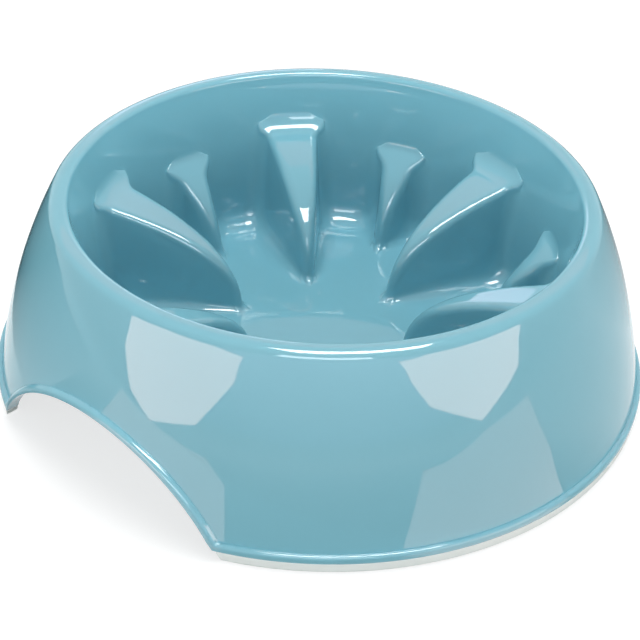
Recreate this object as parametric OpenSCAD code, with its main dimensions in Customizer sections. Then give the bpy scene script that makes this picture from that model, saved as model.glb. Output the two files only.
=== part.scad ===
// Slow feeder bowl: one moulded bowl on two rubber foot strips.
// Millimetres, +Z up, origin on the bowl's axis at the table.
// The finger arches face +Y and -Y, the foot strips lie on the +X and -X sides.

/* [Bowl] */
// Diameter over the lip at the foot
base_d = 229; // [215:1:250]
// Height from the table to the top of the rim
bowl_h = 70.5; // [66:0.5:85]
// Diameter of the mouth, inside the rim
mouth_d = 175; // [165:1:185]
// Radius of the rim's outer side
rim_out_r = 5; // [3.5:0.1:6]
// Radius of the rim's inner side
rim_in_r = 2.2; // [1:0.1:3]
// Width of the level crown between the two
rim_flat = 0.2; // [0:0.1:3]
// Thickness of the moulded wall
wall = 3; // [2:0.1:3.5]

/* [Well] */
// Diameter of the well just above its corner round
well_d = 158.5; // [150:0.5:162]
// Height of the middle of the floor above the table
floor_h = 15; // [12:0.5:20]
// How far the middle of the floor stands above its edge
floor_crown = 3; // [0.5:0.5:5]
// Radius of the round between the floor and the wall
corner_r = 9; // [5:0.5:12]
// Draft of the wall just above the corner, in degrees
wall_draft = 5; // [2:1:8]

/* [Lip and arches] */
// How far the lip stands out from the skirt
lip_out = 1.8; // [1:0.1:3]
// Height of the lip
lip_h = 3; // [2.5:0.1:5]
// Width of each finger arch at the table
arch_w = 105; // [80:1:115]
// Height of each finger arch above the table
arch_h = 33; // [25:0.5:38]
// Width of the bead along the edge of each arch
bead_w = 2.2; // [1.5:0.1:4]

/* [Tall fins] */
// Number of tall fins
tall_count = 6; // [4:1:6]
// Direction of the first tall fin, in degrees from +X
tall_turn = 22.3; // [0:0.1:60]
// Height of a tall fin at the wall, above the table
tall_h = 51; // [44:0.5:54]
// Distance from the axis to the nose of a tall fin
tall_nose_r = 27; // [24:0.5:36]
// Width of a tall fin at its nose
tall_nose_w = 4; // [3:0.1:6]
// Width of a tall fin at the wall
tall_root_w = 19; // [14:0.5:22]
// Extra width on each side of a tall fin where it meets the wall
tall_flare = 4; // [1:0.5:6]

/* [Short fins] */
// Height of a short fin at the wall, above the table
short_h = 48; // [40:0.5:52]
// Distance from the axis to the nose of a short fin
short_nose_r = 59.5; // [52:0.5:64]
// Width of a short fin at its nose
short_nose_w = 4; // [3:0.1:6]
// Width of a short fin at the wall
short_root_w = 13.5; // [9:0.5:16]
// Extra width on each side of a short fin where it meets the wall
short_flare = 2.5; // [1:0.5:4]

/* [Fin finish] */
// Radius of the long edges of a fin
edge_r = 2; // [1:0.1:3]
// Draft of the sides of a fin, in degrees
fin_draft = 5; // [2:1:8]
// Radius of the fillet along the foot of a fin
fin_fillet = 5; // [2:0.5:7]

/* [Foot strips] */
// Height of a strip below the lip
strip_h = 3.8; // [2:0.1:5]
// Width of a strip
strip_w = 4.2; // [3:0.1:4.5]
// How far a strip's outer face stands back from the lip
strip_inset = 0.6; // [0.3:0.1:1]
// Width of the tongue that holds a strip in its groove
tongue_w = 1.4; // [1:0.1:2]
// Height of that tongue
tongue_h = 1.8; // [1:0.1:2.4]
// Clearance around the tongue
tongue_gap = 0.1; // [0.05:0.05:0.3]
// Gap between the end of a strip and the edge of the arch
end_gap = 0.4; // [0.2:0.1:1]

/* [Hidden] */
$fn = 96;
// Overrun of every cut past the face that it leaves
over = 1;

base_r = base_d / 2;
mouth_r = mouth_d / 2;
skirt_r = base_r - lip_out;
lip_z = strip_h;
lip_top = lip_z + lip_h;
// Depth to which a fin is rooted in the wall and the floor
root_in = wall / 2;

// Steps along the curves of the section
skirt_steps = 12;
wall_steps = 10;
floor_steps = 6;
round_steps = 6;

// Where the skirt runs into the rim's round, in degrees above level
skirt_top_angle = 26.6;
// Height of the skirt's control point as a share of its rise, and its outward share
skirt_z_share = 0.536;
skirt_r_share = 0.25;

function bend2(a, b, c, t) = (1 - t) * (1 - t) * a + 2 * t * (1 - t) * b + t * t * c;
function bend3(a, b, c, d, t) =
    pow(1 - t, 3) * a + 3 * t * pow(1 - t, 2) * b + 3 * t * t * (1 - t) * c + pow(t, 3) * d;
function round_at(c, r, a) = [c.x + r * cos(a), c.y + r * sin(a)];
function mix(a, b, t) = a + (b - a) * t;

// Section of the well from the axis to the mouth, as [distance from the axis, height]
well_r = well_d / 2;
floor_edge_r = well_r - corner_r;
floor_edge_z = floor_h - floor_crown;
corner_c = [floor_edge_r, floor_edge_z + corner_r];
wall_foot = round_at(corner_c, corner_r, -wall_draft);
wall_head = [mouth_r, bowl_h - rim_in_r];
// Height of the wall's control point, as a share of the wall's rise
wall_bend_share = 0.58;
wall_bend_z = mix(wall_foot.y, wall_head.y, wall_bend_share);
wall_bend = [wall_foot.x + (wall_bend_z - wall_foot.y) * tan(wall_draft), wall_bend_z];
floor_pts = [
    for (i = [0:floor_steps - 1])
        let (s = i / floor_steps) [floor_edge_r * s, floor_h - floor_crown * s * s]
];
corner_pts = [
    for (i = [0:round_steps])
        round_at(corner_c, corner_r, mix(-90, -wall_draft, i / round_steps))
];
wall_pts = [for (i = [1:wall_steps]) bend2(wall_foot, wall_bend, wall_head, i / wall_steps)];
well_pts = concat(floor_pts, corner_pts, wall_pts);

// Section of the rim and of the skirt, from the mouth down to the lip
rim_in_c = [mouth_r + rim_in_r, bowl_h - rim_in_r];
rim_out_c = [mouth_r + rim_in_r + rim_flat, bowl_h - rim_out_r];
rim_pts = concat(
    [for (i = [1:round_steps]) round_at(rim_in_c, rim_in_r, mix(180, 90, i / round_steps))],
    [for (i = [0:round_steps])
        round_at(rim_out_c, rim_out_r, mix(90, skirt_top_angle, i / round_steps))]
);
skirt_head = round_at(rim_out_c, rim_out_r, skirt_top_angle);
skirt_foot = [skirt_r, lip_top];
skirt_bend = [
    mix(skirt_foot.x, skirt_head.x, skirt_r_share),
    mix(skirt_foot.y, skirt_head.y, skirt_z_share)
];
skirt_pts = [for (i = [1:skirt_steps]) bend2(skirt_head, skirt_bend, skirt_foot, i / skirt_steps)];

// Points moved sideways by d, to the right of the direction in which they run
function sideways(p, d) = [
    for (i = [0:len(p) - 1])
        let (v = p[min(i + 1, len(p) - 1)] - p[max(i - 1, 0)]) p[i] + d * [v.y, -v.x] / norm(v)
];
function back_to_front(p) = [for (i = [len(p) - 1:-1:0]) p[i]];

// The hollow between the skirt and the wall stops below the rim
hollow_top = bowl_h - 2 * wall;
well_back = [for (p = sideways(well_pts, wall)) if (p.y < hollow_top) [max(p.x, 0), p.y]];
skirt_back = [for (p = sideways(skirt_pts, wall)) if (p.y < hollow_top && p.y > lip_top) p];
seat_r = skirt_r - wall;

// Round of the lip's upper and lower edges, as shares of its height
lip_up_share = 0.5;
lip_low_share = 0.2;
lip_up_r = min(lip_h * lip_up_share, lip_out);
lip_low_r = lip_h * lip_low_share;
lip_pts = concat(
    [for (i = [0:round_steps])
        round_at([base_r - lip_up_r, lip_top - lip_up_r], lip_up_r, mix(90, 0, i / round_steps))],
    [for (i = [0:round_steps])
        round_at([base_r - lip_low_r, lip_z + lip_low_r], lip_low_r, mix(0, -90, i / round_steps))]
);

module shell() {
    rotate_extrude()
        polygon(concat(
            well_pts, rim_pts, skirt_pts, lip_pts,
            [[seat_r, lip_z], [seat_r, lip_top]],
            back_to_front(skirt_back),
            back_to_front(well_back)
        ));
}

// A finger arch is a level cylinder whose axis lies below the table
arch_r = (arch_w * arch_w / 4 + arch_h * arch_h) / (2 * arch_h);
arch_axis_z = arch_h - arch_r;
// The cut starts between the wall of the well and the skirt
arch_start = wall_head.x + wall;

module arch_rod(r) {
    for (turn = [0, 180])
        rotate([0, 0, turn])
            translate([0, arch_start, arch_axis_z])
                rotate([-90, 0, 0])
                    cylinder(r = r, h = base_r + over - arch_start);
}

// The lip runs on along the edge of each arch, as a bead of the same depth
module arch_bead() {
    intersection() {
        rotate_extrude()
            polygon(concat(
                sideways(skirt_pts, -lip_out),
                [[base_r, lip_z], [skirt_r - root_in, lip_z]],
                back_to_front(sideways(skirt_pts, root_in))
            ));
        difference() {
            arch_rod(arch_r + bead_w);
            arch_rod(arch_r);
        }
    }
}

// A fin is [height at the wall, nose distance, nose width, root width, flare, crest shares]
tall_crest_shares = [[0, 0], [0.067, 0.487], [0.312, 0.789], [1, 1]];
short_crest_shares = [[0, 0], [0.171, 0.52], [0.6, 0.669], [1, 1]];
tall_fin = [tall_h, tall_nose_r, tall_nose_w, tall_root_w, tall_flare, tall_crest_shares];
short_fin = [short_h, short_nose_r, short_nose_w, short_root_w, short_flare, short_crest_shares];
short_turn = tall_turn + 180 / tall_count;

// Height of the well's floor at a distance from the axis
function floor_at(r) = lookup(r, concat(floor_pts, corner_pts));

// Share of a fin's length past which it flares out to the wall
flare_share = 0.8;
// Stations crowd towards the wall by this power
crowd = 1.5;
// A fin's fillet and its rounded edge take at most these shares of its height and width
fillet_share = 0.4;
edge_share = 0.7;
// How far a hollow fillet's middle stands off its corner, as a share of its radius
hollow_share = 0.3;
edge_steps = 3;
// A fin and the hollow beneath it are at least this wide on each side
least_half = wall / 4;
function station(i, n) = 1 - pow(1 - i / n, crowd);

// A fin's foot ends in the corner round, this share of the round short of the wall
foot_share = 0.3;
foot_end = well_r - corner_r * foot_share;
// Reach of a fin's rooted end at a height. The end is flat across, so it goes deep into the wall.
end_share = 0.8;
root_table = concat(
    [[floor_edge_z - root_in, foot_end]],
    [for (p = concat(corner_pts, wall_pts)) if (p.x > foot_end) [p.y, p.x + wall * end_share]]
);
function along(far, across) = sqrt(far * far - across * across);

// One side of a fin's section at share t of its crest, as [along, across, up], foot first.
// The outer skin has thin = 0, and the hollow beneath it lies thin = wall further in.
function fin_side(f, t, thin, side) =
    let (
        s = bend3(f[5][0], f[5][1], f[5][2], f[5][3], t),
        base_z = floor_at(f[1]) - root_in,
        crest_z = mix(base_z + root_in / 2, f[0], s.y) - thin,
        flare = f[4] * pow(max(0, (s.x - flare_share) / (1 - flare_share)), 2),
        half = max(mix(f[2], f[3], s.x) / 2 + flare - thin, least_half),
        foot_half = half + (crest_z - base_z) * tan(fin_draft),
        fillet = min(fin_fillet, (crest_z - base_z) * fillet_share),
        toe = foot_half + fillet,
        toe_z = floor_at(norm([mix(f[1], along(foot_end, toe), s.x), toe])) - root_in,
        rise_z = toe_z + root_in * s.y,
        edge = min(edge_r, half * edge_share, (crest_z - toe_z) * fillet_share),
        foot = thin > 0
            ? [[foot_half, -over]]
            : [
                [foot_half / 2, floor_at(mix(f[1], foot_end, s.x)) - root_in],
                [toe, toe_z],
                [foot_half + fillet * hollow_share, rise_z + fillet * hollow_share],
                [foot_half, rise_z + fillet]
            ],
        crest = [for (i = [0:edge_steps])
            round_at([half - edge, crest_z - edge], edge, 90 * i / edge_steps)]
    )
    [for (p = concat(foot, crest))
        let (far = thin > 0 ? mouth_r + wall : lookup(p.y, root_table))
        [mix(f[1] + thin, along(far, p.x), s.x), side * p.x, p.y]];

// Skin of triangles over a row of sections, each a left side and a right side
module fin_body(f, n, thin, first) {
    m = len(fin_side(f, 1, thin, 1));
    pts = [
        for (i = [first:n]) each concat(
            fin_side(f, station(i, n), thin, 1),
            back_to_front(fin_side(f, station(i, n), thin, -1))
        )
    ];
    k = 2 * m;
    last = (n - first) * k;
    skin = [
        for (i = [0:n - first - 1]) for (j = [0:k - 1])
            let (a = i * k + j, b = i * k + (j + 1) % k)
            each [[a, a + k, b], [b, a + k, b + k]]
    ];
    nose = [for (j = [0:m - 2]) each [[j, j + 1, k - 2 - j], [j, k - 2 - j, k - 1 - j]]];
    root = [for (q = nose) [q.z + last, q.y + last, q.x + last]];
    polyhedron(points = pts, faces = concat(skin, nose, root));
}

tall_steps = 11;
short_steps = 8;
core_steps = 8;
// The hollow beneath a fin starts at this station, where the fin is wide enough for two walls
core_first = 3;

module fins(f, n, turn) {
    for (i = [0:tall_count - 1])
        rotate([0, 0, turn + 360 * i / tall_count])
            fin_body(f, n, 0, 0);
}

module fin_cores(f, turn) {
    for (i = [0:tall_count - 1])
        rotate([0, 0, turn + 360 * i / tall_count])
            fin_body(f, core_steps, wall, core_first);
}

// A strip's tongue sits in the middle of its width
strip_out_r = base_r - strip_inset;
strip_in_r = strip_out_r - strip_w;
tongue_mid_r = strip_out_r - strip_w / 2;

module tongue(clear) {
    rotate_extrude()
        translate([tongue_mid_r - tongue_w / 2 - clear, lip_z - over])
            square([tongue_w + 2 * clear, over + tongue_h + clear]);
}

module bowl() {
    color("#76b4c3")
        difference() {
            union() {
                shell();
                arch_bead();
                fins(tall_fin, tall_steps, tall_turn);
                fins(short_fin, short_steps, short_turn);
            }
            arch_rod(arch_r);
            tongue(tongue_gap);
            fin_cores(tall_fin, tall_turn);
            fin_cores(short_fin, short_turn);
        }
}

// Round of a strip's lower edges, as a share of its height
strip_round_share = 0.25;
strip_round = strip_h * strip_round_share;

module strip_ring() {
    rotate_extrude()
        union() {
            polygon(concat(
                [[strip_in_r, lip_z]],
                [for (i = [0:round_steps])
                    round_at([strip_in_r + strip_round, strip_round], strip_round,
                        mix(180, 270, i / round_steps))],
                [for (i = [0:round_steps])
                    round_at([strip_out_r - strip_round, strip_round], strip_round,
                        mix(-90, 0, i / round_steps))],
                [[strip_out_r, lip_z]]
            ));
            translate([tongue_mid_r - tongue_w / 2, lip_z - strip_round])
                square([tongue_w, tongue_h + strip_round]);
        }
}

module foot_strip(side) {
    color("gainsboro")
        difference() {
            strip_ring();
            arch_rod(arch_r + end_gap);
            translate([side > 0 ? -base_d : 0, -base_r, -over])
                cube([base_d, base_d, bowl_h]);
        }
}

module foot_strip_right() {
    foot_strip(1);
}

module foot_strip_left() {
    foot_strip(-1);
}

bowl();
foot_strip_right();
foot_strip_left();
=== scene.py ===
# %% [markdown]
# # A slow feeder bowl, from its fixed frame to its studio picture
# The object is a dog's bowl that makes a fast eater slow down. It is pressed in one piece from a glossy
# resin, with a ring of tall and short fins standing in the well, a flared hollow skirt with two finger
# arches, and a pale rubber strip under each side of the skirt. Nothing on it moves.
#
# The lesson goes: the frame, the camera, a way to write a shape as formulas, the section of the bowl and of
# its fins, the two materials, the bowl itself, the rubber strips, and the studio.

import ast
import math

import bpy
import numpy as np
from mathutils import Matrix, Vector


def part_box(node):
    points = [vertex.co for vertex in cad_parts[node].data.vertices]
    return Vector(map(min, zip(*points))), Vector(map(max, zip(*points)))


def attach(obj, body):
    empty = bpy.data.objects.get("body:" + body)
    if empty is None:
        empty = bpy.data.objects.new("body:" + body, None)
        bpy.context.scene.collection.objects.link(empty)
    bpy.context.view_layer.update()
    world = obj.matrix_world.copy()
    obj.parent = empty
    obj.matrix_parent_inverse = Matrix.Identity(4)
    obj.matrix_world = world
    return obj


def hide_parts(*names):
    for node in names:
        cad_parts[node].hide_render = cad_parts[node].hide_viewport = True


MM = 0.001
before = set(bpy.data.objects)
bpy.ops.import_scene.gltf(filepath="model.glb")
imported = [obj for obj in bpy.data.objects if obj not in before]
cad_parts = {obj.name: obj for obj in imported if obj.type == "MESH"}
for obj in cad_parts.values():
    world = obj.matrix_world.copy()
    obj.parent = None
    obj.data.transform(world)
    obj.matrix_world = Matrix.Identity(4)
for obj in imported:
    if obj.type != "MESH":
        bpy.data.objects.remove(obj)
bpy.context.view_layer.update()

# %% [markdown]
# ## The camera
# The photograph looks down on the bowl from about two bowl widths away, with one arch at the left. Where
# the camera stood was found from the ellipses of the rim and of the foot. A lens is set by its focal
# length on a 36 mm sensor, and here the known thing is the focal length in pixels of a square picture, so
# one line turns the one into the other. The camera comes first, so that every later piece can be
# judged in the photograph's own view.

# %% Place the camera
PHOTO_SIDE = 640
FOCAL_PIXELS = 1998.3
CAMERA_AZIMUTH = math.radians(42.2)
CAMERA_DISTANCE = 584.8 * MM
CAMERA_HEIGHT = 420.8 * MM
CAMERA_PITCH = math.radians(34.57)
CAMERA_YAW = math.radians(-0.046)
CAMERA_ROLL = math.radians(2.274)


def place_camera():
    heading = CAMERA_AZIMUTH - CAMERA_YAW
    forward = Vector((-math.sin(heading), math.cos(heading), -math.tan(CAMERA_PITCH))).normalized()
    right = forward.cross(Vector((0, 0, 1))).normalized()
    upward = right.cross(forward)
    axes = Matrix((right, upward, -forward)).transposed().to_4x4()
    spot = Matrix.Rotation(CAMERA_AZIMUTH, 4, "Z") @ Vector((0, -CAMERA_DISTANCE, CAMERA_HEIGHT))
    lens = bpy.data.cameras.new("photo_camera")
    camera = bpy.data.objects.new("photo_camera", lens)
    lens.lens = FOCAL_PIXELS / PHOTO_SIDE * lens.sensor_width
    bpy.context.scene.collection.objects.link(camera)
    camera.matrix_world = Matrix.Translation(spot) @ axes @ Matrix.Rotation(CAMERA_ROLL, 4, "Z")
    bpy.context.scene.camera = camera
    return camera


camera = place_camera()
print("camera at", [round(v, 3) for v in camera.location], "lens", round(camera.data.lens, 1), "mm")

# %% [markdown]
# ## Nodes from formulas
# Geometry Nodes can place every point of a mesh by a rule, but a rule of fifty Math nodes is slow to read.
# So the rule is written as text, one formula to a line, and Python's own parser takes each line apart: a
# plus sign becomes an Add node, sin() becomes a Sine node, and a name is the socket that an earlier line
# made. `add` is the one small function that adds a node of any kind, here and in the materials. `combined`
# and `ranged` are short ways to write the two kinds that come up most.

# %% Add a node, and lay formulas as Math nodes
OPERATIONS = {
    ast.Add: "ADD", ast.Sub: "SUBTRACT", ast.Mult: "MULTIPLY", ast.Div: "DIVIDE",
    "sin": "SINE", "cos": "COSINE", "asin": "ARCSINE", "sqrt": "SQRT", "abs": "ABSOLUTE", "sign": "SIGN",
    "floor": "FLOOR", "least": "MINIMUM", "most": "MAXIMUM", "remainder": "FLOORED_MODULO", "clamp": "ADD",
}


def add(tree, kind, inputs=None, **settings):
    node = tree.nodes.new(kind)
    for name, value in settings.items():
        setattr(node, name, value)
    for name, value in (inputs or {}).items():
        if isinstance(value, bpy.types.NodeSocket):
            tree.links.new(value, node.inputs[name])
        else:
            node.inputs[name].default_value = value
    return node


def combined(tree, operation, *values, **settings):
    return add(tree, "ShaderNodeMath", dict(enumerate(values)), operation=operation, **settings).outputs[0]


def ranged(tree, value, near, far, low, high):
    limits = {"Value": value, "From Min": near, "From Max": far, "To Min": low, "To Max": high}
    return add(tree, "ShaderNodeMapRange", limits).outputs[0]


def lay_formulas(tree, known, text):
    def math_node(name, *values):
        return combined(tree, OPERATIONS[name], *values, use_clamp=name == "clamp")

    def lay(part):
        if isinstance(part, ast.Constant):
            return float(part.value)
        if isinstance(part, ast.Name):
            return known[part.id]
        if isinstance(part, ast.BinOp):
            return math_node(type(part.op), lay(part.left), lay(part.right))
        values = [lay(value) for value in part.args]
        if part.func.id == "mix":
            low, high, share = values
            gap = math_node(ast.Sub, high, low)
            return math_node(ast.Add, low, math_node(ast.Mult, gap, share))
        if part.func.id == "clamp":
            values.append(0.0)
        return math_node(part.func.id, *values)

    for line in ast.parse(text).body:
        known[line.targets[0].id] = lay(line.value)
    return known


print("formulas know", len(OPERATIONS), "operations")

# %% [markdown]
# ## A tree with named sizes
# Each tree starts with its group inputs, one for every size, so that a reader can change the shape in the
# modifier panel. It ends in Merge by Distance, which closes the seam and the poles, then Realize
# Instances and Set Material. A modifier keeps its inputs under the sockets' identifiers, not their names,
# so `grow` looks each identifier up. Afterwards the evaluated result is kept as a plain mesh.

# %% Start a tree, finish it, and grow a piece from it
SOCKETS = {float: "NodeSocketFloat", int: "NodeSocketInt", bpy.types.Object: "NodeSocketObject"}
MERGE_GAP = 0.002 * MM


def start_tree(name, sizes):
    tree = bpy.data.node_groups.new(name, "GeometryNodeTree")
    tree.interface.new_socket("Geometry", in_out="OUTPUT", socket_type="NodeSocketGeometry")
    for title, value in sizes.items():
        tree.interface.new_socket(title, in_out="INPUT", socket_type=SOCKETS[type(value)])
    entry = add(tree, "NodeGroupInput")
    known = {title.replace(" ", "_"): entry.outputs[title] for title in sizes}
    known["index"] = add(tree, "GeometryNodeInputIndex").outputs[0]
    return tree, known


def place_points(tree, geometry, x, y, z):
    spot = add(tree, "ShaderNodeCombineXYZ", {0: x, 1: y, 2: z}).outputs[0]
    return add(tree, "GeometryNodeSetPosition", {"Geometry": geometry, "Position": spot}).outputs[0]


def finish_tree(tree, geometry, material, sharp_angle):
    merged = add(tree, "GeometryNodeMergeByDistance", {"Geometry": geometry, "Distance": MERGE_GAP})
    angle = add(tree, "GeometryNodeInputMeshEdgeAngle").outputs["Unsigned Angle"]
    smooth = combined(tree, "LESS_THAN", angle, sharp_angle)
    faces = add(tree, "GeometryNodeSetShadeSmooth", {"Geometry": merged.outputs[0], "Shade Smooth": True})
    shading = {"Geometry": faces.outputs[0], "Shade Smooth": smooth}
    edges = add(tree, "GeometryNodeSetShadeSmooth", shading, domain="EDGE")
    whole = add(tree, "GeometryNodeRealizeInstances", {"Geometry": edges.outputs[0]})
    dressed = add(tree, "GeometryNodeSetMaterial", {"Geometry": whole.outputs[0], "Material": material})
    add(tree, "NodeGroupOutput", {"Geometry": dressed.outputs[0]})


def grow(name, tree, sizes):
    seed = bpy.data.objects.new(name + "_seed", bpy.data.meshes.new(name + "_seed"))
    bpy.context.scene.collection.objects.link(seed)
    modifier = seed.modifiers.new(name, "NODES")
    modifier.node_group = tree
    for item in tree.interface.items_tree:
        if item.in_out == "INPUT":
            modifier[item.identifier] = sizes[item.name]
    bpy.context.view_layer.update()
    shape = seed.evaluated_get(bpy.context.evaluated_depsgraph_get())
    mesh = bpy.data.meshes.new_from_object(shape)
    bpy.data.objects.remove(seed)
    mesh.name = name
    piece = bpy.data.objects.new(name, mesh)
    bpy.context.scene.collection.objects.link(piece)
    triangles = sum(len(face.vertices) - 2 for face in mesh.polygons)
    print(name, "has", len(mesh.vertices), "points and", triangles, "triangles")
    return piece


print("trees end with merge, shade, realize and material")

# %% [markdown]
# ## Curves of the section
# Cut the bowl through its axis and the edge of the cut is one line of arcs and soft bends: up the middle of
# the floor, round the corner, up the wall, over the rim, down the skirt, round the lip, and back inside.
# A few small functions draw such lines as points [distance from the axis, height]. `roll_in` finds the
# round where one line runs into another, the way a ball lies in a corner: its centre is where both lines,
# moved sideways by the ball's radius, cross.

# %% Draw arcs, bends and rolled corners
def arc(centre, radius, first, last, count):
    turns = np.radians(np.linspace(first, last, count))
    return np.array(centre) + radius * np.column_stack([np.cos(turns), np.sin(turns)])


def bend(start, pull, end, count):
    share = np.linspace(0, 1, count)[:, None]
    return (1 - share) ** 2 * start + 2 * share * (1 - share) * pull + share ** 2 * end


def lengths(line):
    return np.concatenate([[0], np.cumsum(np.linalg.norm(np.diff(line, axis=0), axis=1))])


def along(line, places):
    run = lengths(line)
    return np.column_stack([np.interp(places, run, line[:, 0]), np.interp(places, run, line[:, 1])])


def sideways(line, gap):
    heading = np.gradient(line, axis=0)
    heading /= np.linalg.norm(heading, axis=1)[:, None]
    return line + gap * np.column_stack([-heading[:, 1], heading[:, 0]])


PARALLEL = 1e-18


def crossing(one, two):
    steps = np.diff(one, axis=0)[:, None]
    others = np.diff(two, axis=0)[None]
    gaps = two[None, :-1] - one[:-1, None]
    area = steps[..., 0] * others[..., 1] - steps[..., 1] * others[..., 0]
    area = np.where(np.abs(area) < PARALLEL, np.inf, area)
    here = (gaps[..., 0] * others[..., 1] - gaps[..., 1] * others[..., 0]) / area
    there = (gaps[..., 0] * steps[..., 1] - gaps[..., 1] * steps[..., 0]) / area
    hits = np.argwhere((here >= 0) & (here <= 1) & (there >= 0) & (there <= 1) & np.isfinite(area))
    i, j = hits[0]
    return i, j, one[i] + here[i, j] * steps[i, 0]


def roll_in(first, second, radius, count=12):
    i, j, centre = crossing(sideways(first, radius), sideways(second, radius))
    touches = [first[i] - centre, second[j + 1] - centre]
    turns = [math.degrees(math.atan2(way[1], way[0])) for way in touches]
    turns[1] += 360 * (turns[1] < turns[0])
    return np.vstack([first[:i], arc(centre, radius, *turns, count), second[j + 2:]])


print("a quarter arc of 5 points:", np.round(arc((0, 0), 1, 0, 90, 5), 2).tolist())

# %% [markdown]
# ## The section of the bowl
# The sizes are the bowl's own, in millimetres. The overall width and height come from the frame, so the
# picture can never outgrow the real part. The wall leans a little, as any pressed wall must to leave its
# mould, and bends outwards towards the rim. The rim is rolled: a small round inside and a larger one outside.

# %% Lay out the section
BASE_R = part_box("bowl")[1].x
BOWL_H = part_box("bowl")[1].z
MOUTH_R = 87.5 * MM
RIM_IN_R = 2.2 * MM
RIM_OUT_R = 5 * MM
RIM_FLAT = 0.2 * MM
WALL = 3 * MM
WELL_R = 79.25 * MM
FLOOR_H = 15 * MM
FLOOR_CROWN = 3 * MM
CORNER_R = 9 * MM
WALL_DRAFT = math.radians(5)
WALL_BEND_SHARE = 0.58
LIP_OUT = 1.8 * MM
STRIP_H = 3.8 * MM
LIP_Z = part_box("foot_strip_right")[0].z + STRIP_H
LIP_H = 3 * MM
LIP_UPPER_R = 1.4 * MM
LIP_LOWER_R = 0.6 * MM
SKIRT_TOP_TURN = 26.6
SKIRT_R_SHARE = 0.25
SKIRT_Z_SHARE = 0.536
CEILING_Z = BOWL_H - 2 * WALL
FINE = 60
RIM_IN_ROWS = 7
RIM_OUT_ROWS = 8
SKIRT_ROWS = 17


def mix(low, high, share):
    return low + (high - low) * share


SKIRT_R = BASE_R - LIP_OUT
LIP_TOP = LIP_Z + LIP_H
corner_centre = np.array([WELL_R - CORNER_R, FLOOR_H - FLOOR_CROWN + CORNER_R])
floor_share = np.linspace(0, 1, FINE)
floor_line = np.column_stack([corner_centre[0] * floor_share, FLOOR_H - FLOOR_CROWN * floor_share ** 2])
corner_line = arc(corner_centre, CORNER_R, -90, -math.degrees(WALL_DRAFT), FINE)
wall_foot = corner_line[-1]
wall_head = np.array([MOUTH_R, BOWL_H - RIM_IN_R])
wall_bend_z = mix(wall_foot[1], wall_head[1], WALL_BEND_SHARE)
wall_bend = np.array([wall_foot[0] + (wall_bend_z - wall_foot[1]) * math.tan(WALL_DRAFT), wall_bend_z])
wall_line = bend(wall_foot, wall_bend, wall_head, FINE)
well_line = np.vstack([floor_line, corner_line[1:], wall_line[1:]])

rim_out_centre = np.array([MOUTH_R + RIM_IN_R + RIM_FLAT, BOWL_H - RIM_OUT_R])
rim_in_line = arc((MOUTH_R + RIM_IN_R, BOWL_H - RIM_IN_R), RIM_IN_R, 180, 90, RIM_IN_ROWS)
rim_out_line = arc(rim_out_centre, RIM_OUT_R, 90, SKIRT_TOP_TURN, RIM_OUT_ROWS)
skirt_head = rim_out_line[-1]
skirt_foot = np.array([SKIRT_R, LIP_TOP])
skirt_pull = np.array([
    mix(skirt_foot[0], skirt_head[0], SKIRT_R_SHARE), mix(skirt_foot[1], skirt_head[1], SKIRT_Z_SHARE)])
skirt_line = bend(skirt_head, skirt_pull, skirt_foot, SKIRT_ROWS)
for name, line in (("well", well_line), ("skirt", skirt_line)):
    print("the", name, "is", round(lengths(line)[-1] / MM), "mm along its section")

# %% [markdown]
# ## The fins in the same section
# A fin is a second line over the first one: it leaves the floor at the fin's nose, climbs the crest, and
# runs into the wall. Rounds rolled into both ends give the soft moulded corners that catch the light.

# %% Draw the crests
TALL_COUNT = 6
TALL = dict(nose_r=30.5 * MM, top=51 * MM, nose_w=4 * MM, root_w=19.5 * MM, crest_fillet=9 * MM,
            shares=[(0, 0), (0.01, 0.487), (0.268, 0.789), (1, 1)])
SHORT = dict(nose_r=59.5 * MM, top=48 * MM, nose_w=4 * MM, root_w=13.5 * MM, crest_fillet=6.5 * MM,
             shares=[(0, 0), (0.171, 0.52), (0.6, 0.669), (1, 1)])
NOSE_FILLET = 4 * MM
NOSE_DEPTH = WALL / 4
ROOT_DEPTH = 2.4 * MM
CREST_FILLET_ROWS = 24
CREST_FINE = 4 * FINE
TOUCH = 0.01 * MM


def wall_r(z):
    upper = well_line[well_line[:, 0] > corner_centre[0]]
    return np.interp(z, upper[:, 1], upper[:, 0])


def crest_path(fin):
    share = np.linspace(0, 1, CREST_FINE)[:, None]
    knots = np.array(fin["shares"], float)
    rest = 1 - share
    way = 3 * share * rest ** 2 * knots[1] + 3 * share ** 2 * rest * knots[2] + share ** 3
    foot_z = np.interp(fin["nose_r"], floor_line[:, 0], floor_line[:, 1])
    z = mix(foot_z - NOSE_DEPTH, fin["top"], way[:, 1])
    crest = np.column_stack([mix(fin["nose_r"], wall_r(z) + ROOT_DEPTH, way[:, 0]), z])
    floor = np.column_stack([np.linspace(0, fin["nose_r"] + WALL, CREST_FINE)] * 2)
    floor[:, 1] = np.interp(floor[:, 0], floor_line[:, 0], floor_line[:, 1])
    nosed = roll_in(floor, crest, NOSE_FILLET)
    wall = well_line[len(floor_line):]
    path = roll_in(nosed, wall, fin["crest_fillet"], CREST_FILLET_ROWS)
    nose = fin["nose_r"] - NOSE_FILLET
    top = path[-1, 1]
    for point in path[::-1]:
        if abs(wall_r(point[1]) - point[0]) > TOUCH:
            break
        top = point[1]
    return path, nose, top


for kind, fin in (("tall", TALL), ("short", SHORT)):
    nose, top = crest_path(fin)[1:]
    print("a", kind, "crest leaves the floor", round(nose / MM, 1), "mm out and meets the wall",
          round(top / MM, 1), "mm up")

# %% [markdown]
# ## The width of a fin
# Every place along the bare section gets a partner on the crest, and with it the fin's half width at the
# crest and at the foot, and the round at the foot. That round shrinks towards the top, where the fin stands
# out of the wall by less. The hollow beneath a fin is the same fin, moved inwards by one wall.

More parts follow.
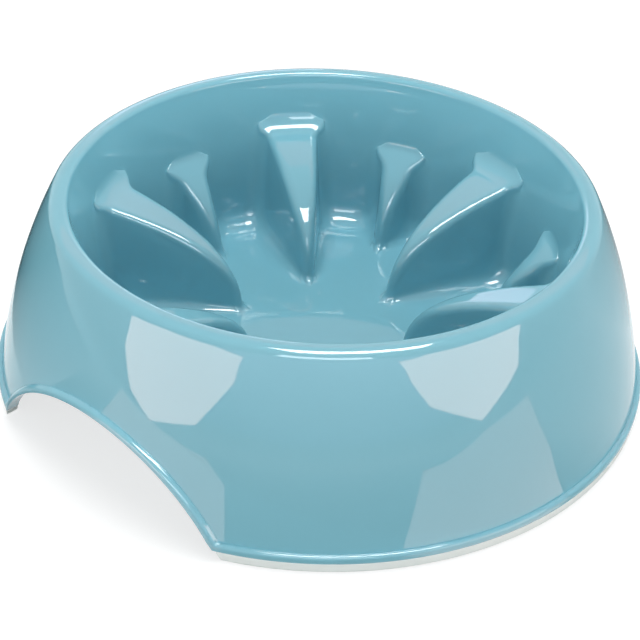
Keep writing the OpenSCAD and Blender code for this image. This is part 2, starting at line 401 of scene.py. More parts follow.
# %% Give the fins their width
FIN_DRAFT = math.radians(5)
FIN_FILLET = 6.5 * MM
NOSE_ROUND = 4 * MM
EAR_SHARE = 0.3
EAR_REACH = 0.75 * FIN_FILLET
TAPER_RUN = 1.5 * NOSE_ROUND
FILLET_RUN = 3 * FIN_FILLET
HOLLOW_HALF = 0.8 * MM
HOLLOW_FILLET_SHARE = 0.2


def rounded(run, length):
    return np.sqrt(1 - (1 - np.clip(run / length, 0, 1)) ** 2)


def fin_rows(fin, places, inset):
    path, nose, top = crest_path(fin)
    run = lengths(well_line)
    leaves = np.interp(nose, well_line[:, 0], run)
    upper = well_line[:, 1] > corner_centre[1]
    joins = np.interp(top, well_line[upper, 1], run[upper])
    length = lengths(path)[-1]
    spots = np.interp(places, [0, leaves, joins, run[-1]], [0, leaves, length - (run[-1] - joins), length])
    base = along(well_line, places)
    crest = along(path, spots)

    def half_width(r):
        share = np.clip((r - fin["nose_r"]) / (WELL_R + WALL - fin["nose_r"]), 0, 1)
        return mix(fin["nose_w"], fin["root_w"], share) / 2

    def inner(line, at):
        moved = sideways(line, -inset)
        return np.column_stack([np.interp(at, lengths(line), moved[:, k]) for k in (0, 1)])

    back_from_nose = base[:, 0] - nose
    blunt = rounded(back_from_nose, NOSE_ROUND)
    tall_enough = mix(EAR_SHARE, 1, rounded(np.linalg.norm(crest - base, axis=1), EAR_REACH))
    half = half_width(crest[:, 0]) * rounded(spots - leaves, TAPER_RUN)
    foot = (half_width(base[:, 0]) + (crest[:, 1] - base[:, 1]) * math.tan(FIN_DRAFT)) * blunt
    soft = mix(NOSE_FILLET / 2, FIN_FILLET * tall_enough, np.clip(back_from_nose / FILLET_RUN, 0, 1)) * blunt
    if inset:
        wide = np.clip((half - inset - HOLLOW_HALF / 2) / HOLLOW_HALF, 0, 1)[:, None]
        base = inner(well_line, places)
        crest = mix(base, inner(path, spots), wide)
        half, foot = np.maximum(half - inset, HOLLOW_HALF), np.maximum(foot - inset, HOLLOW_HALF)
        soft = soft * HOLLOW_FILLET_SHARE
    return dict(r=crest[:, 0], z=crest[:, 1], half=half, foot=foot, soft=soft), base


for kind, fin in (("tall", TALL), ("short", SHORT)):
    widest = fin_rows(fin, lengths(well_line), 0)[0]["half"].max()
    print("a", kind, "fin is up to", round(2 * widest / MM, 1), "mm wide along its crest")

# %% [markdown]
# ## The table of rings
# The table has one row for each ring of the bowl: where the ring is on the bare section, where it is on a
# tall and on a short fin's crest, how wide the fin is at its crest and at its foot, and how large the round
# at its foot is. The rows crowd together at the noses, in the corner, and at the ears, which is what the
# ends of the crests on the wall are called here. The bowl's inside and its hollow underside are made from
# the same kind of rows, one wall apart.

# %% Fill the table of rings
WELL_ROWS = 96
BACK_ROWS = 36
LIP_UPPER_ROWS = 6
LIP_LOWER_ROWS = 4
LIP_STEP = np.array([0.1 * MM, 0.05 * MM])
NOSE_CROWDS = [(2 * MM, 3 * MM, 3), (8 * MM, 6 * MM, 1)]
EAR_CROWD = (-3 * MM, 5 * MM, 2.5)
EASE_FOOT = 57 * MM
EASE_RUN = 9 * MM


def hump(values, spot, crowd):
    offset, width, weight = crowd
    return weight * np.exp(-((values - spot - offset) / width) ** 2)


def crowding():
    crowded = np.ones(len(well_line))
    for fin in (TALL, SHORT):
        nose, top = crest_path(fin)[1:]
        for crowd in NOSE_CROWDS:
            crowded += hump(well_line[:, 0], nose, crowd) * (well_line[:, 1] < FLOOR_H + MM)
        crowded += hump(well_line[:, 1], top, EAR_CROWD)
    crowded += (well_line[:, 0] > corner_centre[0]) * (well_line[:, 1] < corner_centre[1])
    return crowded


def outside_line():
    lip = np.vstack([
        skirt_foot + LIP_STEP,
        arc((BASE_R - LIP_UPPER_R, LIP_TOP - LIP_UPPER_R), LIP_UPPER_R, 90, 0, LIP_UPPER_ROWS),
        arc((BASE_R - LIP_LOWER_R, LIP_Z + LIP_LOWER_R), LIP_LOWER_R, 0, -90, LIP_LOWER_ROWS),
        [[SKIRT_R - WALL, LIP_Z], [SKIRT_R - WALL, LIP_TOP]]])
    inner = sideways(skirt_line, -WALL)[::-1]
    inner = inner[(inner[:, 1] > LIP_TOP + MM) & (inner[:, 1] < CEILING_Z)][::2]
    ceiling = [[np.interp(CEILING_Z, inner[:, 1], inner[:, 0]), CEILING_Z]]
    return np.vstack([rim_in_line[1:], rim_out_line, skirt_line[1:], lip, inner, ceiling])


def ring_table():
    run, crowded = lengths(well_line), crowding()
    weight = np.concatenate([[0], np.cumsum((crowded[1:] + crowded[:-1]) / 2 * np.diff(run))])
    places = np.interp(np.linspace(0, weight[-1], WELL_ROWS), weight, run)
    tall, base = fin_rows(TALL, places, 0)
    short = fin_rows(SHORT, places, 0)[0]

    underneath = sideways(well_line, -WALL)
    top_place = np.interp(CEILING_Z, underneath[:, 1], run)
    fewer = np.interp(np.linspace(0, np.interp(top_place, run, weight), BACK_ROWS), weight, run)[::-1]
    tall_back, back = fin_rows(TALL, fewer, WALL)
    short_back = fin_rows(SHORT, fewer, WALL)[0]
    back[-1, 0] = tall_back["r"][-1] = short_back["r"][-1] = 0
    outside = outside_line()
    on_skirt = len(rim_in_line) - 1 + len(rim_out_line) - 1

    columns = {"base_r": np.concatenate([base[:, 0], outside[:, 0], back[:, 0]]),
               "base_z": np.concatenate([base[:, 1], outside[:, 1], back[:, 1]])}
    filler = np.full(len(outside), MM)
    plain = dict(r=outside[:, 0], z=outside[:, 1], half=filler, foot=filler, soft=filler)
    for name, front, behind in (("tall", tall, tall_back), ("short", short, short_back)):
        for key in front:
            columns[name + "_" + key] = np.concatenate([front[key], plain[key], behind[key]])
    ease = np.clip((base[:, 1] - EASE_FOOT) / EASE_RUN, 0, 1)
    blend, none = ease ** 2 * (3 - 2 * ease), np.zeros(len(back))
    columns["outside"] = np.concatenate([blend, np.ones(len(outside)), none])
    columns["skirt"] = np.concatenate([
        np.zeros(len(base) + on_skirt), np.ones(len(outside) - on_skirt), none])
    return columns


rings = ring_table()
RING_COUNT = len(rings["base_r"])
guide_mesh = bpy.data.meshes.new("bowl_rings")
guide_mesh.from_pydata([(r, 0, z) for r, z in zip(rings["base_r"], rings["base_z"])], [], [])
for name, values in rings.items():
    kept = guide_mesh.attributes.new(name, "FLOAT", "POINT")
    kept.data.foreach_set("value", np.asarray(values, np.float32))
guide = bpy.data.objects.new("bowl_rings", guide_mesh)
print(RING_COUNT, "rings with", len(rings), "values each")

# %% [markdown]
# ## Materials
# A material says in what way light comes back. Both of these are built from textures that are worked out,
# not painted, in the object's own coordinates and at real sizes in millimetres, so they stay put when the
# bowl is turned. The colours are read from the photograph as hex values and turned into the linear values
# that light adds up in.

# %% Colours in linear light
NOISE_LOW, NOISE_HIGH = 0.3, 0.7


def linear(hex_colour):
    shares = [int(hex_colour[k:k + 2], 16) / 255 for k in (1, 3, 5)]
    return [s / 12.92 if s <= 0.04045 else ((s + 0.055) / 1.055) ** 2.4 for s in shares] + [1.0]


def blank_material(name):
    material = bpy.data.materials.new(name)
    material.use_nodes = True
    material.node_tree.nodes.clear()
    return material, material.node_tree


def noise(tree, size, detail=2.0, roughness=0.5):
    place = add(tree, "ShaderNodeTexCoord").outputs["Object"]
    settings = {"Vector": place, "Scale": 1 / size, "Detail": detail, "Roughness": roughness}
    return add(tree, "ShaderNodeTexNoise", settings).outputs["Fac"]


def spread(tree, value, low, high):
    return ranged(tree, value, NOISE_LOW, NOISE_HIGH, low, high)


def cloudy(tree, cloud, dark, light):
    shades = {"Factor": cloud, "A": linear(dark), "B": linear(light)}
    outputs = add(tree, "ShaderNodeMix", shades, data_type="RGBA").outputs
    return [socket for socket in outputs if socket.type == "RGBA"][0]


def bumps(tree, strength, depth, height, below=None):
    inputs = {"Strength": strength, "Distance": depth, "Height": height}
    if below:
        inputs["Normal"] = below
    return add(tree, "ShaderNodeBump", inputs).outputs[0]


def surface(tree, colour, roughness, ior, normal):
    inputs = {"Base Color": colour, "Roughness": roughness, "IOR": ior, "Normal": normal}
    shader = add(tree, "ShaderNodeBsdfPrincipled", inputs)
    add(tree, "ShaderNodeOutputMaterial", {"Surface": shader.outputs[0]})


print("the bowl's teal is", np.round(linear("#74b0bf"), 3).tolist(), "in linear light")

# %% [markdown]
# ### Polished melamine
# Melamine is a hard resin pressed in a polished steel mould. Its colour goes all the way through, and the
# skin keeps the mould's mirror finish, so the eye gets a deep soft colour below and sharp, faintly wavy
# reflections above. A slow wave stands for the mould's hand polishing, a fine one for the resin's flow.

# %% Mix the melamine
MELAMINE_IOR = 1.55


def melamine_material():
    material, tree = blank_material("polished_melamine")
    tint = cloudy(tree, noise(tree, 40 * MM, 3.0), "#74b0bf", "#7cb6c5")
    gloss = spread(tree, noise(tree, 6 * MM, 4.0, 0.6), low=0.03, high=0.055)
    wave = bumps(tree, strength=0.05, depth=0.3 * MM, height=noise(tree, 14 * MM, 1.0))
    fine = bumps(tree, strength=0.03, depth=0.05 * MM, height=noise(tree, 1.2 * MM), below=wave)
    surface(tree, tint, gloss, MELAMINE_IOR, fine)
    return material


melamine = melamine_material()
print(melamine.name, "is mixed from", len(melamine.node_tree.nodes), "nodes")

# %% [markdown]
# ### Moulded rubber
# The strip is pale rubber with a dry, matt skin. A fine grain breaks up what little it reflects, and the
# colour is cloudy because dust and handling never leave a pale rubber even.

# %% Mix the rubber
RUBBER_IOR = 1.5


def rubber_material():
    material, tree = blank_material("moulded_rubber")
    tint = cloudy(tree, noise(tree, 9 * MM, 4.0, 0.6), "#dfe6e3", "#e9efec")
    dry = spread(tree, noise(tree, 2 * MM), low=0.58, high=0.74)
    grain = bumps(tree, strength=0.25, depth=0.08 * MM, height=noise(tree, 0.5 * MM, 3.0))
    surface(tree, tint, dry, RUBBER_IOR, grain)
    return material


rubber = rubber_material()
print(rubber.name, "is mixed from", len(rubber.node_tree.nodes), "nodes")

# %% [markdown]
# ## The bowl's sizes
# The bowl is one sheet, a grid of rings by columns, wrapped round the axis. Moulding makes the real bowl in
# the same way, as one sheet. The sizes below become the inputs of the bowl's tree. An arch is part of a
# circle, so its radius follows from its width and its height.

# %% Write down the bowl's sizes
STEPS = 44
COLUMNS = 2 * TALL_COUNT * STEPS
ARCH_W = 105 * MM
ARCH_H = 33 * MM
BEAD_W = 2.2 * MM
ARCH_R = (ARCH_W ** 2 / 4 + ARCH_H ** 2) / (2 * ARCH_H)
ARCH_AXIS_Z = ARCH_H - ARCH_R
TALL_TURN = math.radians(22.3)
QUARTER = math.pi / 2
SECTOR = math.pi / TALL_COUNT

angle_in = math.acos((LIP_Z - ARCH_AXIS_Z) / ARCH_R)
angle_out = math.acos((LIP_TOP - ARCH_AXIS_Z) / (ARCH_R + BEAD_W))
corner_turn = math.asin((ARCH_R + BEAD_W) * math.sin(angle_out) / BASE_R)
first_turn = TALL_TURN - SECTOR / 2 - QUARTER
column_turn = 2 * math.pi / COLUMNS
BOWL_SIZES = {
    "Section": guide, "Rings": RING_COUNT, "Columns": COLUMNS, "Steps": STEPS, "Tall turn": TALL_TURN,
    "Half turn": math.pi, "Quarter turn": QUARTER, "Sector turn": SECTOR, "Least": 0.01 * MM,
    "Crest end": 4, "Edge end": 8, "Flank end": 13, "Foot end": 18,
    "Tall nose": TALL["nose_r"], "Short nose": SHORT["nose_r"], "Edge round": 2.6 * MM,
    "Edge share of half": 0.95, "Edge share of rise": 0.7, "Flat share": 0.8,
    "Lean": math.radians(6.5), "Lean start": 45 * MM, "Lean run": 13 * MM, "Standing": 1.5 * MM,
    "Nose sweep": 0.8, "Nose sweep run": 14 * MM, "Crown": 0.16, "Crown run": 30 * MM,
    "Lip bottom": LIP_Z, "Lip top": LIP_TOP, "Ceiling": CEILING_Z, "Bead width": BEAD_W,
    "Arch radius": ARCH_R, "Arch axis": ARCH_AXIS_Z, "Angle in": angle_in, "Angle out": angle_out,
    "Corner turn": corner_turn, "First turn": first_turn, "Ease columns": 20, "Least radius": 50 * MM,
    "Left column": round((-corner_turn - first_turn) / column_turn),
    "Right column": round((corner_turn - first_turn) / column_turn),
    "Head r": float(skirt_head[0]), "Head z": float(skirt_head[1]), "Pull r": float(skirt_pull[0]),
    "Pull z": float(skirt_pull[1]), "Foot r": float(skirt_foot[0]), "Foot z": float(skirt_foot[1]),
}
print("the bowl has", len(BOWL_SIZES), "named sizes; the arches' radius is", round(ARCH_R / MM, 1), "mm")

# %% [markdown]
# ## The bowl's formulas
# Every column belongs to a fin's sector, and counts outwards from the fin's middle: first over the crest,
# then round its edge, down the flank, through the round at its foot, and along to the next sector. Formulas
# turn that count and the table's row into a point. On the skirt the same grid is pushed up into two arches,
# so the lip runs along the arch's edge as a bead without a seam.
#
# Near its nose a crest isn't flat across: its edges fall away, which the size "Crown" sets, and sweep back.
# The borders between the sectors lean near the axis, which leaves the tall fins more floor.

# %% Write the bowl's formulas
COUNTING = """
column = index - row * (Columns + 1)
sector = floor(column / Steps)
place = column - sector * Steps - Steps / 2
side = sign(place)
count = abs(place)
tall = 1 - remainder(sector, 2)
on_crest = clamp(count / Crest_end)
on_edge = clamp((count - Crest_end) / (Edge_end - Crest_end))
on_flank = clamp((count - Edge_end) / (Flank_end - Edge_end))
on_foot = clamp((count - Flank_end) / (Foot_end - Flank_end))
on_rest = clamp((count - Foot_end) / (Steps / 2 - Foot_end))
"""
FIN_SECTION = """
crest_r = mix(short_r, tall_r, tall)
crest_z = mix(short_z, tall_z, tall)
half = mix(short_half, tall_half, tall)
foot = mix(short_foot, tall_foot, tall)
soft = most(mix(short_soft, tall_soft, tall), Least)
rise = sqrt((crest_r - base_r) * (crest_r - base_r) + (crest_z - base_z) * (crest_z - base_z))
edge = least(Edge_round, least(Edge_share_of_half * half, Edge_share_of_rise * rise))
start = asin(clamp(1 - (rise - edge) / soft))
turn = mix(start, Quarter_turn, on_foot)
bevel = Quarter_turn * on_edge
down = edge * (1 - cos(bevel)) + on_flank * (rise - edge - soft * (1 - sin(start)))
up = rise - down - soft * (sin(turn) - sin(start))
share = up / most(rise, Least)
wide = mix(foot, half, share)
point_r = mix(base_r, crest_r, share)
point_z = mix(base_z, crest_z, share)
brink = Sector_turn / 2 + Lean * (2 * tall - 1) * (1 - clamp((base_r - Lean_start) / Lean_run))
crest_across = on_crest * (wide + soft * (1 - cos(start)) - edge) + edge * sin(bevel)
fin_across = crest_across + soft * (cos(start) - cos(turn))
flat_across = clamp(count / Foot_end) * least(foot + soft, Flat_share * point_r * brink)
stands = clamp(rise / Standing)
across = mix(flat_across, fin_across, stands * stands * (3 - 2 * stands))
from_nose = crest_r - mix(Short_nose, Tall_nose, tall)
edgewise = clamp(across / most(wide, Least))
swept = (1 - sqrt(1 - edgewise * edgewise)) * (1 - clamp(from_nose / Nose_sweep_run))
crowned = edgewise * edgewise * (1 - clamp(from_nose / Crown_run))
point_r = point_r + Nose_sweep * half * share * swept
point_z = point_z - Crown * half * share * crowned
swing = mix(asin(across / most(point_r, Least)), brink, on_rest)
turn_in = Tall_turn + sector * Sector_turn + side * swing
"""
ARCHES = """
far_side = floor(column / (Columns / 2))
spot = column - far_side * Columns / 2
between = clamp((spot - Left_column) / (Right_column - Left_column))
left = clamp(spot / Left_column) * (0 - Corner_turn - First_turn)
right = clamp((spot - Right_column) / (Columns / 2 - Right_column)) * (Half_turn + First_turn - Corner_turn)
even = First_turn + left + between * 2 * Corner_turn + right
before = clamp((spot - Left_column) / Ease_columns + 1)
after = clamp((Right_column - spot) / Ease_columns + 1)
near = least(before, after)
low = clamp((base_z - Lip_bottom) / (Lip_top - Lip_bottom))
fade = skirt * (1 - clamp((base_z - Lip_top) / (Ceiling - Lip_top)))
bead_radius = Arch_radius + Bead_width
turn_under = (2 * between - 1) * Angle_in
turn_over = (2 * between - 1) * Angle_out
edge_x = mix(Arch_radius * sin(turn_under), bead_radius * sin(turn_over), low)
edge_z = Arch_axis + mix(Arch_radius * cos(turn_under), bead_radius * cos(turn_over), low)
lift = (edge_z - mix(Lip_bottom, Lip_top, low)) * fade
"""
SKIRT_AT = """
slope = Head_z - Pull_z
curve = Head_z - 2 * Pull_z + Foot_z
way = (slope - sqrt(slope * slope - curve * (Head_z - most(HEIGHT, Foot_z)))) / curve
RESULT = mix(mix(Head_r, Pull_r, way), mix(Pull_r, Foot_r, way), way)
"""
PLACING = """
final_r = point_r + skirt_there - skirt_here
final_z = point_z + lift
shift = (asin(edge_x / most(final_r, Least_radius)) - (2 * between - 1) * Corner_turn) * near * fade
turn_out = Quarter_turn + Half_turn * far_side + even + shift
azimuth = mix(turn_in, turn_out, outside)
x = final_r * cos(azimuth)
y = final_r * sin(azimuth)
"""
print("a fin's section takes", FIN_SECTION.count(" = "), "formulas, an arch", ARCHES.count(" = "))

# %% [markdown]
# ## The bowl
# The tree reads each ring's values from the table, lays the formulas, and moves the grid's points to where
# they say. The skirt's radius is worked out twice, at a point's own height and at the height it is lifted
# to, because an arch has to follow the flare.

# %% Grow the bowl
BOWL_SHARP = math.radians(50)


def bowl_tree(material):
    tree, known = start_tree("slow_feeder_bowl", BOWL_SIZES)
    columns = combined(tree, "ADD", known["Columns"], 1.0)
    grid = add(tree, "GeometryNodeMeshGrid", {"Vertices X": known["Rings"], "Vertices Y": columns})
    lay_formulas(tree, known, "row = floor(index / (Columns + 1))")
    section = add(tree, "GeometryNodeObjectInfo", {"Object": known["Section"]}).outputs["Geometry"]
    for name in rings:
        kept = add(tree, "GeometryNodeInputNamedAttribute", {"Name": name}, data_type="FLOAT")
        sample = {"Geometry": section, "Value": kept.outputs["Attribute"], "Index": known["row"]}
        known[name] = add(tree, "GeometryNodeSampleIndex", sample).outputs[0]
    lay_formulas(tree, known, COUNTING + FIN_SECTION + ARCHES)
    for height, result in (("base_z", "skirt_here"), ("(base_z + lift)", "skirt_there")):
        lay_formulas(tree, known, SKIRT_AT.replace("HEIGHT", height).replace("RESULT", result))
    lay_formulas(tree, known, PLACING)
    placed = place_points(tree, grid.outputs["Mesh"], known["x"], known["y"], known["final_z"])
    finish_tree(tree, placed, material, BOWL_SHARP)
    print("the bowl's tree has", len(tree.nodes), "nodes")
    return tree


bpy.context.scene.collection.objects.link(guide)
bowl = grow("bowl_shell", bowl_tree(melamine), BOWL_SIZES)
bpy.data.objects.remove(guide)
low, high = np.array(bowl.bound_box).min(0), np.array(bowl.bound_box).max(0)
print("bowl box", np.round(low / MM, 2), np.round(high / MM, 2))
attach(bowl, "root")
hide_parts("bowl")

# %% [markdown]
# ## The rubber strips
# A strip of rubber is pressed under the lip on each side, and ends at the arches. A strip is a profile
# run along an arc, which is how rubber strip is really made, so the tree sweeps a rounded profile along a
# curve. The strip's ends aren't square: they follow the round of the arch, so a formula stretches the
# strip's turn at each height until it meets the arch's cylinder.

# %% Grow the strips
STRIP_W = 4.2 * MM
STRIP_INSET = 0.6 * MM
STRIP_ROUND = 0.95 * MM
END_GAP = 0.4 * MM
STRIP_OUT_R = BASE_R - STRIP_INSET
STRIP_SHARP = math.radians(40)
STRIP_SIZES = {
    "Middle radius": STRIP_OUT_R - STRIP_W / 2, "Width": STRIP_W, "Height": LIP_Z, "Round": STRIP_ROUND,
    "Arch radius": ARCH_R + END_GAP, "Arch axis": ARCH_AXIS_Z, "Turn": 0.0, "Quarter turn": QUARTER,
    "First angle": -1.0, "Sweep": 2.0, "Steps along": 160, "Steps round": 5, "Least": 0.001 * MM,
}
STRIP_ENDS = """
pz = middle_z + Height / 2
far = sqrt(px * px + py * py)
share = py / most(abs(py), Least)
bearing = share * asin(abs(py) / far)
over_axis = pz - Arch_axis
reach = Quarter_turn - asin(sqrt(Arch_radius * Arch_radius - over_axis * over_axis) / far)
azimuth = bearing * reach + Turn
x = far * cos(azimuth)
y = far * sin(azimuth)
"""


def strip_tree(material):
    tree, known = start_tree("foot_strip", STRIP_SIZES)
    line = add(tree, "GeometryNodeCurveArc", {
        "Resolution": known["Steps_along"], "Radius": known["Middle_radius"],
        "Start Angle": known["First_angle"], "Sweep Angle": known["Sweep"]}).outputs[0]
    profile = add(tree, "GeometryNodeCurvePrimitiveQuadrilateral", {
        "Width": known["Width"], "Height": known["Height"]}).outputs[0]
    softened = add(tree, "GeometryNodeFilletCurve", {
        "Curve": profile, "Radius": known["Round"], "Limit Radius": True,
        "Count": known["Steps_round"]}, mode="POLY").outputs[0]
    swept = add(tree, "GeometryNodeCurveToMesh", {
        "Curve": line, "Profile Curve": softened, "Fill Caps": True}).outputs[0]
    place = add(tree, "ShaderNodeSeparateXYZ", {0: add(tree, "GeometryNodeInputPosition").outputs[0]})
    known["px"], known["py"], known["middle_z"] = place.outputs
    lay_formulas(tree, known, STRIP_ENDS)
    placed = place_points(tree, swept, known["x"], known["y"], known["pz"])
    finish_tree(tree, placed, material, STRIP_SHARP)
    return tree


strips = strip_tree(rubber)
for side, turn in (("right", 0.0), ("left", math.pi)):
    strip = grow("rubber_strip_" + side, strips, {**STRIP_SIZES, "Turn": turn})
    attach(strip, "root")
    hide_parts("foot_strip_" + side)
    print(strip.name, "spans", [round(v / MM, 1) for v in strip.dimensions], "mm")

# %% [markdown]
# ## Cards and boxes for a studio
# A glossy thing shows its surroundings, so most of a picture like this is made by what stands around it.
# A card is a flat glowing outline. Everything is placed by its azimuth from the camera's own direction, in
# degrees to the right.

# %% Cut cards and hang boxes
def glow_material(name, strength, colour):
    material, tree = blank_material(name)
    shader = add(tree, "ShaderNodeEmission", {"Color": linear(colour), "Strength": strength})
    add(tree, "ShaderNodeOutputMaterial", {"Surface": shader.outputs[0]})
    return material


def around(azimuth, distance, z):
    way = CAMERA_AZIMUTH - QUARTER + math.radians(azimuth)
    return Vector((distance * math.cos(way), distance * math.sin(way), z))


def card(name, corners, strength, colour):
    mesh = bpy.data.meshes.new(name)
    mesh.from_pydata(corners, [], [range(len(corners))])
    mesh.materials.append(glow_material(name, strength, colour))
    piece = bpy.data.objects.new(name, mesh)
    bpy.context.scene.collection.objects.link(piece)
    piece.visible_camera = piece.visible_diffuse = piece.visible_shadow = False
    return piece


def standing_card(name, azimuth, distance, outline, strength=1.0, colour="#ffffff"):
    middle = around(azimuth, distance, 0)
    across = around(azimuth + 90, 1, 0)
    return card(name, [middle + across * x + Vector((0, 0, z)) for x, z in outline], strength, colour)


def lying_card(name, outline, strength=1.0, colour="#ffffff", z=0.5 * MM):
    return card(name, [around(azimuth, distance, z) for distance, azimuth in outline], strength, colour)


def oblong(left, right, low, high):
    return [(left, low), (right, low), (right, high), (left, high)]


def ring_sector(first, last, inner, outer):
    turns = list(range(first, last + 1, 10))
    return [(inner, turn) for turn in turns] + [(outer, turn) for turn in reversed(turns)]


def soft_box(name, spot, size, turn, radiance):
    lamp = bpy.data.lights.new(name, "AREA")
    lamp.shape, lamp.size, lamp.size_y = "RECTANGLE", size[0], size[1]
    lamp.energy = radiance * math.pi * size[0] * size[1]
    holder = bpy.data.objects.new(name, lamp)
    bpy.context.scene.collection.objects.link(holder)
    holder.location = spot
    holder.rotation_euler = (0, 0, CAMERA_AZIMUTH + math.radians(turn))
    return holder


print("the camera looks along", [round(v, 2) for v in around(180, 1, 0)])

# %% [markdown]
# ## Measures of a place
# `graded` lets a card's brightness follow a measure of the place: its height, how far it lies `towards` a
# direction, or its `distance_out` from the bowl. The last has an extra towards the shade's end, so that the
# shade fades out there. The table and the room ask `seen_by` whether a ray comes from the camera or from a
# mirror-like reflection.

# %% Measure places and grade a card
LIGHT_AZIMUTH = 14
SHADE_END_AZIMUTH = 90


def vector_measure(tree, operation, *vectors):
    return add(tree, "ShaderNodeVectorMath", dict(enumerate(vectors)), operation=operation).outputs["Value"]


def height_up(tree, place):
    return add(tree, "ShaderNodeSeparateXYZ", {0: place}).outputs[2]


def towards(tree, place, azimuth):
    way = add(tree, "ShaderNodeVectorMath", {0: place}, operation="NORMALIZE").outputs[0]
    return vector_measure(tree, "DOT_PRODUCT", way, around(azimuth, 1, 0))


def towards_light(tree, place):
    return towards(tree, place, LIGHT_AZIMUTH)


def distance_out(tree, place):
    to_end = towards(tree, place, SHADE_END_AZIMUTH)
    ending = ranged(tree, to_end, near=0.75, far=0.96, low=0.0, high=0.26)
    return combined(tree, "ADD", vector_measure(tree, "LENGTH", place), ending)


def graded(piece, measure, near, far, low, high):
    tree = piece.data.materials[0].node_tree
    place = add(tree, "ShaderNodeTexCoord").outputs["Object"]
    level = ranged(tree, measure(tree, place), near, far, low, high)
    tree.links.new(level, tree.nodes["Emission"].inputs["Strength"])


def seen_by(tree):
    path = add(tree, "ShaderNodeLightPath").outputs
    either = combined(tree, "MAXIMUM", path["Is Camera Ray"], path["Is Glossy Ray"])
    return combined(tree, "MAXIMUM", either, path["Is Transmission Ray"])


print("the room's light comes from", LIGHT_AZIMUTH, "degrees to the right of the camera")

# %% [markdown]
# ## What stands around the bowl
# Each thing here is seen by the camera only as a reflection in the bowl:
#
# - two cards close to the bowl give the pale patches high on the skirt, and two sheets on the table give
#   those low down. A small card behind gives the pale patch on the nearest crest, and a wide, warm screen
#   behind it makes the rim and the crests paler than the walls.
# - a front card halfway up the room gives the thin lines along the short fins' edges, which face lower.
# - a bright box overhead, a little towards the camera, gives the thin line along every crest, the dot at
#   every nose and the bars in the corners. It shows in the gloss alone, and a second, plain ceiling box
#   lights the colour, so the size of a highlight and the level of the light are set apart.
# - a front wall behind the camera gets brighter with height, and a sheet on the table, with the bowl's shadow
#   painted on it, gets darker towards the bowl. Together they make the skirt's front fade from pale at the
#   rim to deep at the foot. A flag on the table behind the bowl, with painted shade that is darker away from
#   the light, keeps its sides from going white. Shade and flag fade out at their ends.

# %% Stand the cards and boxes
WARM, ROSE, LILAC, COOL, BLUISH = "#ffe1d8", "#ffcfc6", "#f0ecff", "#f4f8ff", "#e6f0ff"
LEFT_CARD = [
    (-0.072, 0.11), (-0.063, 0.063), (-0.025, 0.026), (0.023, 0.009),
    (0.107, 0.028), (0.168, 0.097), (0.177, 0.15), (0, 0.15)]
RIGHT_CARD = [
    (-0.186, 0.155), (-0.165, 0.107), (-0.13, 0.064), (-0.036, 0.024),
    (0.056, 0.055), (0.089, 0.111), (0.085, 0.15), (-0.15, 0.15)]
LEFT_SHEET = [
    (0.12, -15), (0.216, -22), (0.31, -30), (0.39, -49),
    (0.451, -59), (0.504, -64), (0.272, -62), (0.12, -60)]
RIGHT_SHEET = [
    (0.12, 15), (0.291, 29), (0.299, 36), (0.424, 52), (0.48, 69), (0.172, 60), (0.12, 50)]
BACK_CARD = oblong(left=-0.1, right=0.1, low=0.18, high=0.36)
REAR_SCREEN = oblong(left=-1.6, right=1.6, low=0.85, high=2.3)
FRONT_CARD = oblong(left=-0.42, right=0.3, low=0.66, high=1.0)
FRONT_WALL = oblong(left=-1.8, right=1.8, low=0, high=0.7)
FLAG = ring_sector(first=104, last=284, inner=0.135, outer=0.5)
SHADE = ring_sector(first=-76, last=104, inner=0.118, outer=0.5)
BOX_HEIGHT = 1.4
BOX_SPOT = around(0, 0.32, BOX_HEIGHT) + around(90, 0.2, 0)

standing_card("left_card", azimuth=-53, distance=0.33, outline=LEFT_CARD, strength=6.5, colour=WARM)
standing_card("right_card", azimuth=55, distance=0.33, outline=RIGHT_CARD, strength=6.5, colour=WARM)
lying_card("left_sheet", outline=LEFT_SHEET, strength=2.4, colour=WARM)
lying_card("right_sheet", outline=RIGHT_SHEET, strength=2.4, colour=WARM)
standing_card("back_card", azimuth=-170, distance=0.6, outline=BACK_CARD, strength=3.0, colour=LILAC)
standing_card("rear_screen", azimuth=180, distance=1.1, outline=REAR_SCREEN, strength=1.8, colour=ROSE)
standing_card("front_card", azimuth=5, distance=1.1, outline=FRONT_CARD, strength=9.5, colour=COOL)
bright = soft_box("bright_box", BOX_SPOT, size=(0.87, 0.42), turn=15, radiance=22)
bright.visible_diffuse = False
ceiling = soft_box("ceiling_box", Vector((0, 0, BOX_HEIGHT)), size=(0.9, 0.9), turn=0, radiance=6.8)
ceiling.visible_glossy = False
front_wall = standing_card("front_wall", azimuth=0, distance=1.3, outline=FRONT_WALL, colour=BLUISH)
graded(front_wall, height_up, near=0, far=0.4, low=1.3, high=2.1)
# Painted shade on the table behind the bowl, seen only in reflections: darker away from the light.
graded(lying_card("grey_flag", FLAG), towards_light, near=-0.6, far=0.0, low=0.02, high=1.05)
# A painted shadow of the bowl on the table, seen only in reflections: darker towards the bowl.
graded(lying_card("near_shade", SHADE, z=0.2 * MM), distance_out, near=0.13, far=0.4, low=0.35, high=1.15)
lights = [piece.name for piece in bpy.data.objects if piece.type == "LIGHT"]
print("the boxes are", sorted(lights))

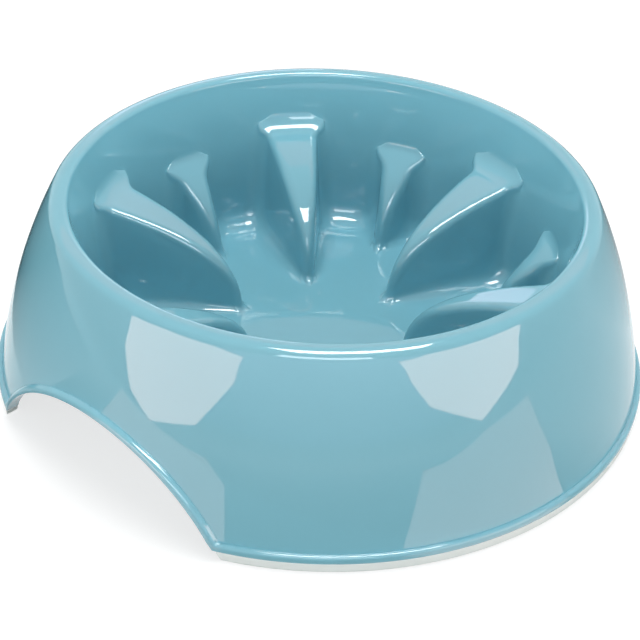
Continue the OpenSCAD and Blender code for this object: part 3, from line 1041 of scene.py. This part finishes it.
# %% [markdown]
# ## The table and the room
# The table is matt, and it glows only for the camera and for reflections, so it looks white without
# lighting the bowl from below. The room is even and brightest behind the camera. Its upper part is dimmed,
# so that the deep sides of the fins stay dark. Rays from the camera and mirror-like rays see it plain
# white instead.

# %% Lay the table and light the room
TABLE_HALF = 4
PAPER_GLOW = 0.72

floor_mesh = bpy.data.meshes.new("table_top")
corners = oblong(-TABLE_HALF, TABLE_HALF, -TABLE_HALF, TABLE_HALF)
floor_mesh.from_pydata([(x, y, 0) for x, y in corners], [], [range(len(corners))])
floor_material, floor_nodes = blank_material("white_table")
matt = add(floor_nodes, "ShaderNodeBsdfDiffuse", {"Color": linear("#a2a4a4")})
glow = combined(floor_nodes, "MULTIPLY", seen_by(floor_nodes), PAPER_GLOW)
paper = add(floor_nodes, "ShaderNodeEmission", {"Strength": glow})
both = add(floor_nodes, "ShaderNodeAddShader", {0: matt.outputs[0], 1: paper.outputs[0]})
add(floor_nodes, "ShaderNodeOutputMaterial", {"Surface": both.outputs[0]})
floor_mesh.materials.append(floor_material)
table = bpy.data.objects.new("table_top", floor_mesh)
bpy.context.scene.collection.objects.link(table)

world = bpy.data.worlds.new("white_room")
world.use_nodes = True
room = world.node_tree
room.nodes.clear()
way_out = add(room, "ShaderNodeTexCoord").outputs["Generated"]
walls = ranged(room, towards_light(room, way_out), near=-0.9, far=0.6, low=1.3, high=2.6)
dimmer = ranged(room, height_up(room, way_out), near=0.25, far=0.42, low=1.0, high=0.12)
room_light = combined(room, "MULTIPLY", walls, dimmer)
seen = add(room, "ShaderNodeMix", {0: seen_by(room), 2: room_light, 3: 1.0}).outputs[0]
sky = add(room, "ShaderNodeBackground", {"Color": (1, 1, 1, 1), "Strength": seen})
add(room, "ShaderNodeOutputWorld", {"Surface": sky.outputs[0]})
bpy.context.scene.world = world
bpy.context.scene.view_settings.view_transform = "Standard"

# %% [markdown]
# ## Finish
# The view layer is brought up to date.

# %% Finish
bpy.context.view_layer.update()
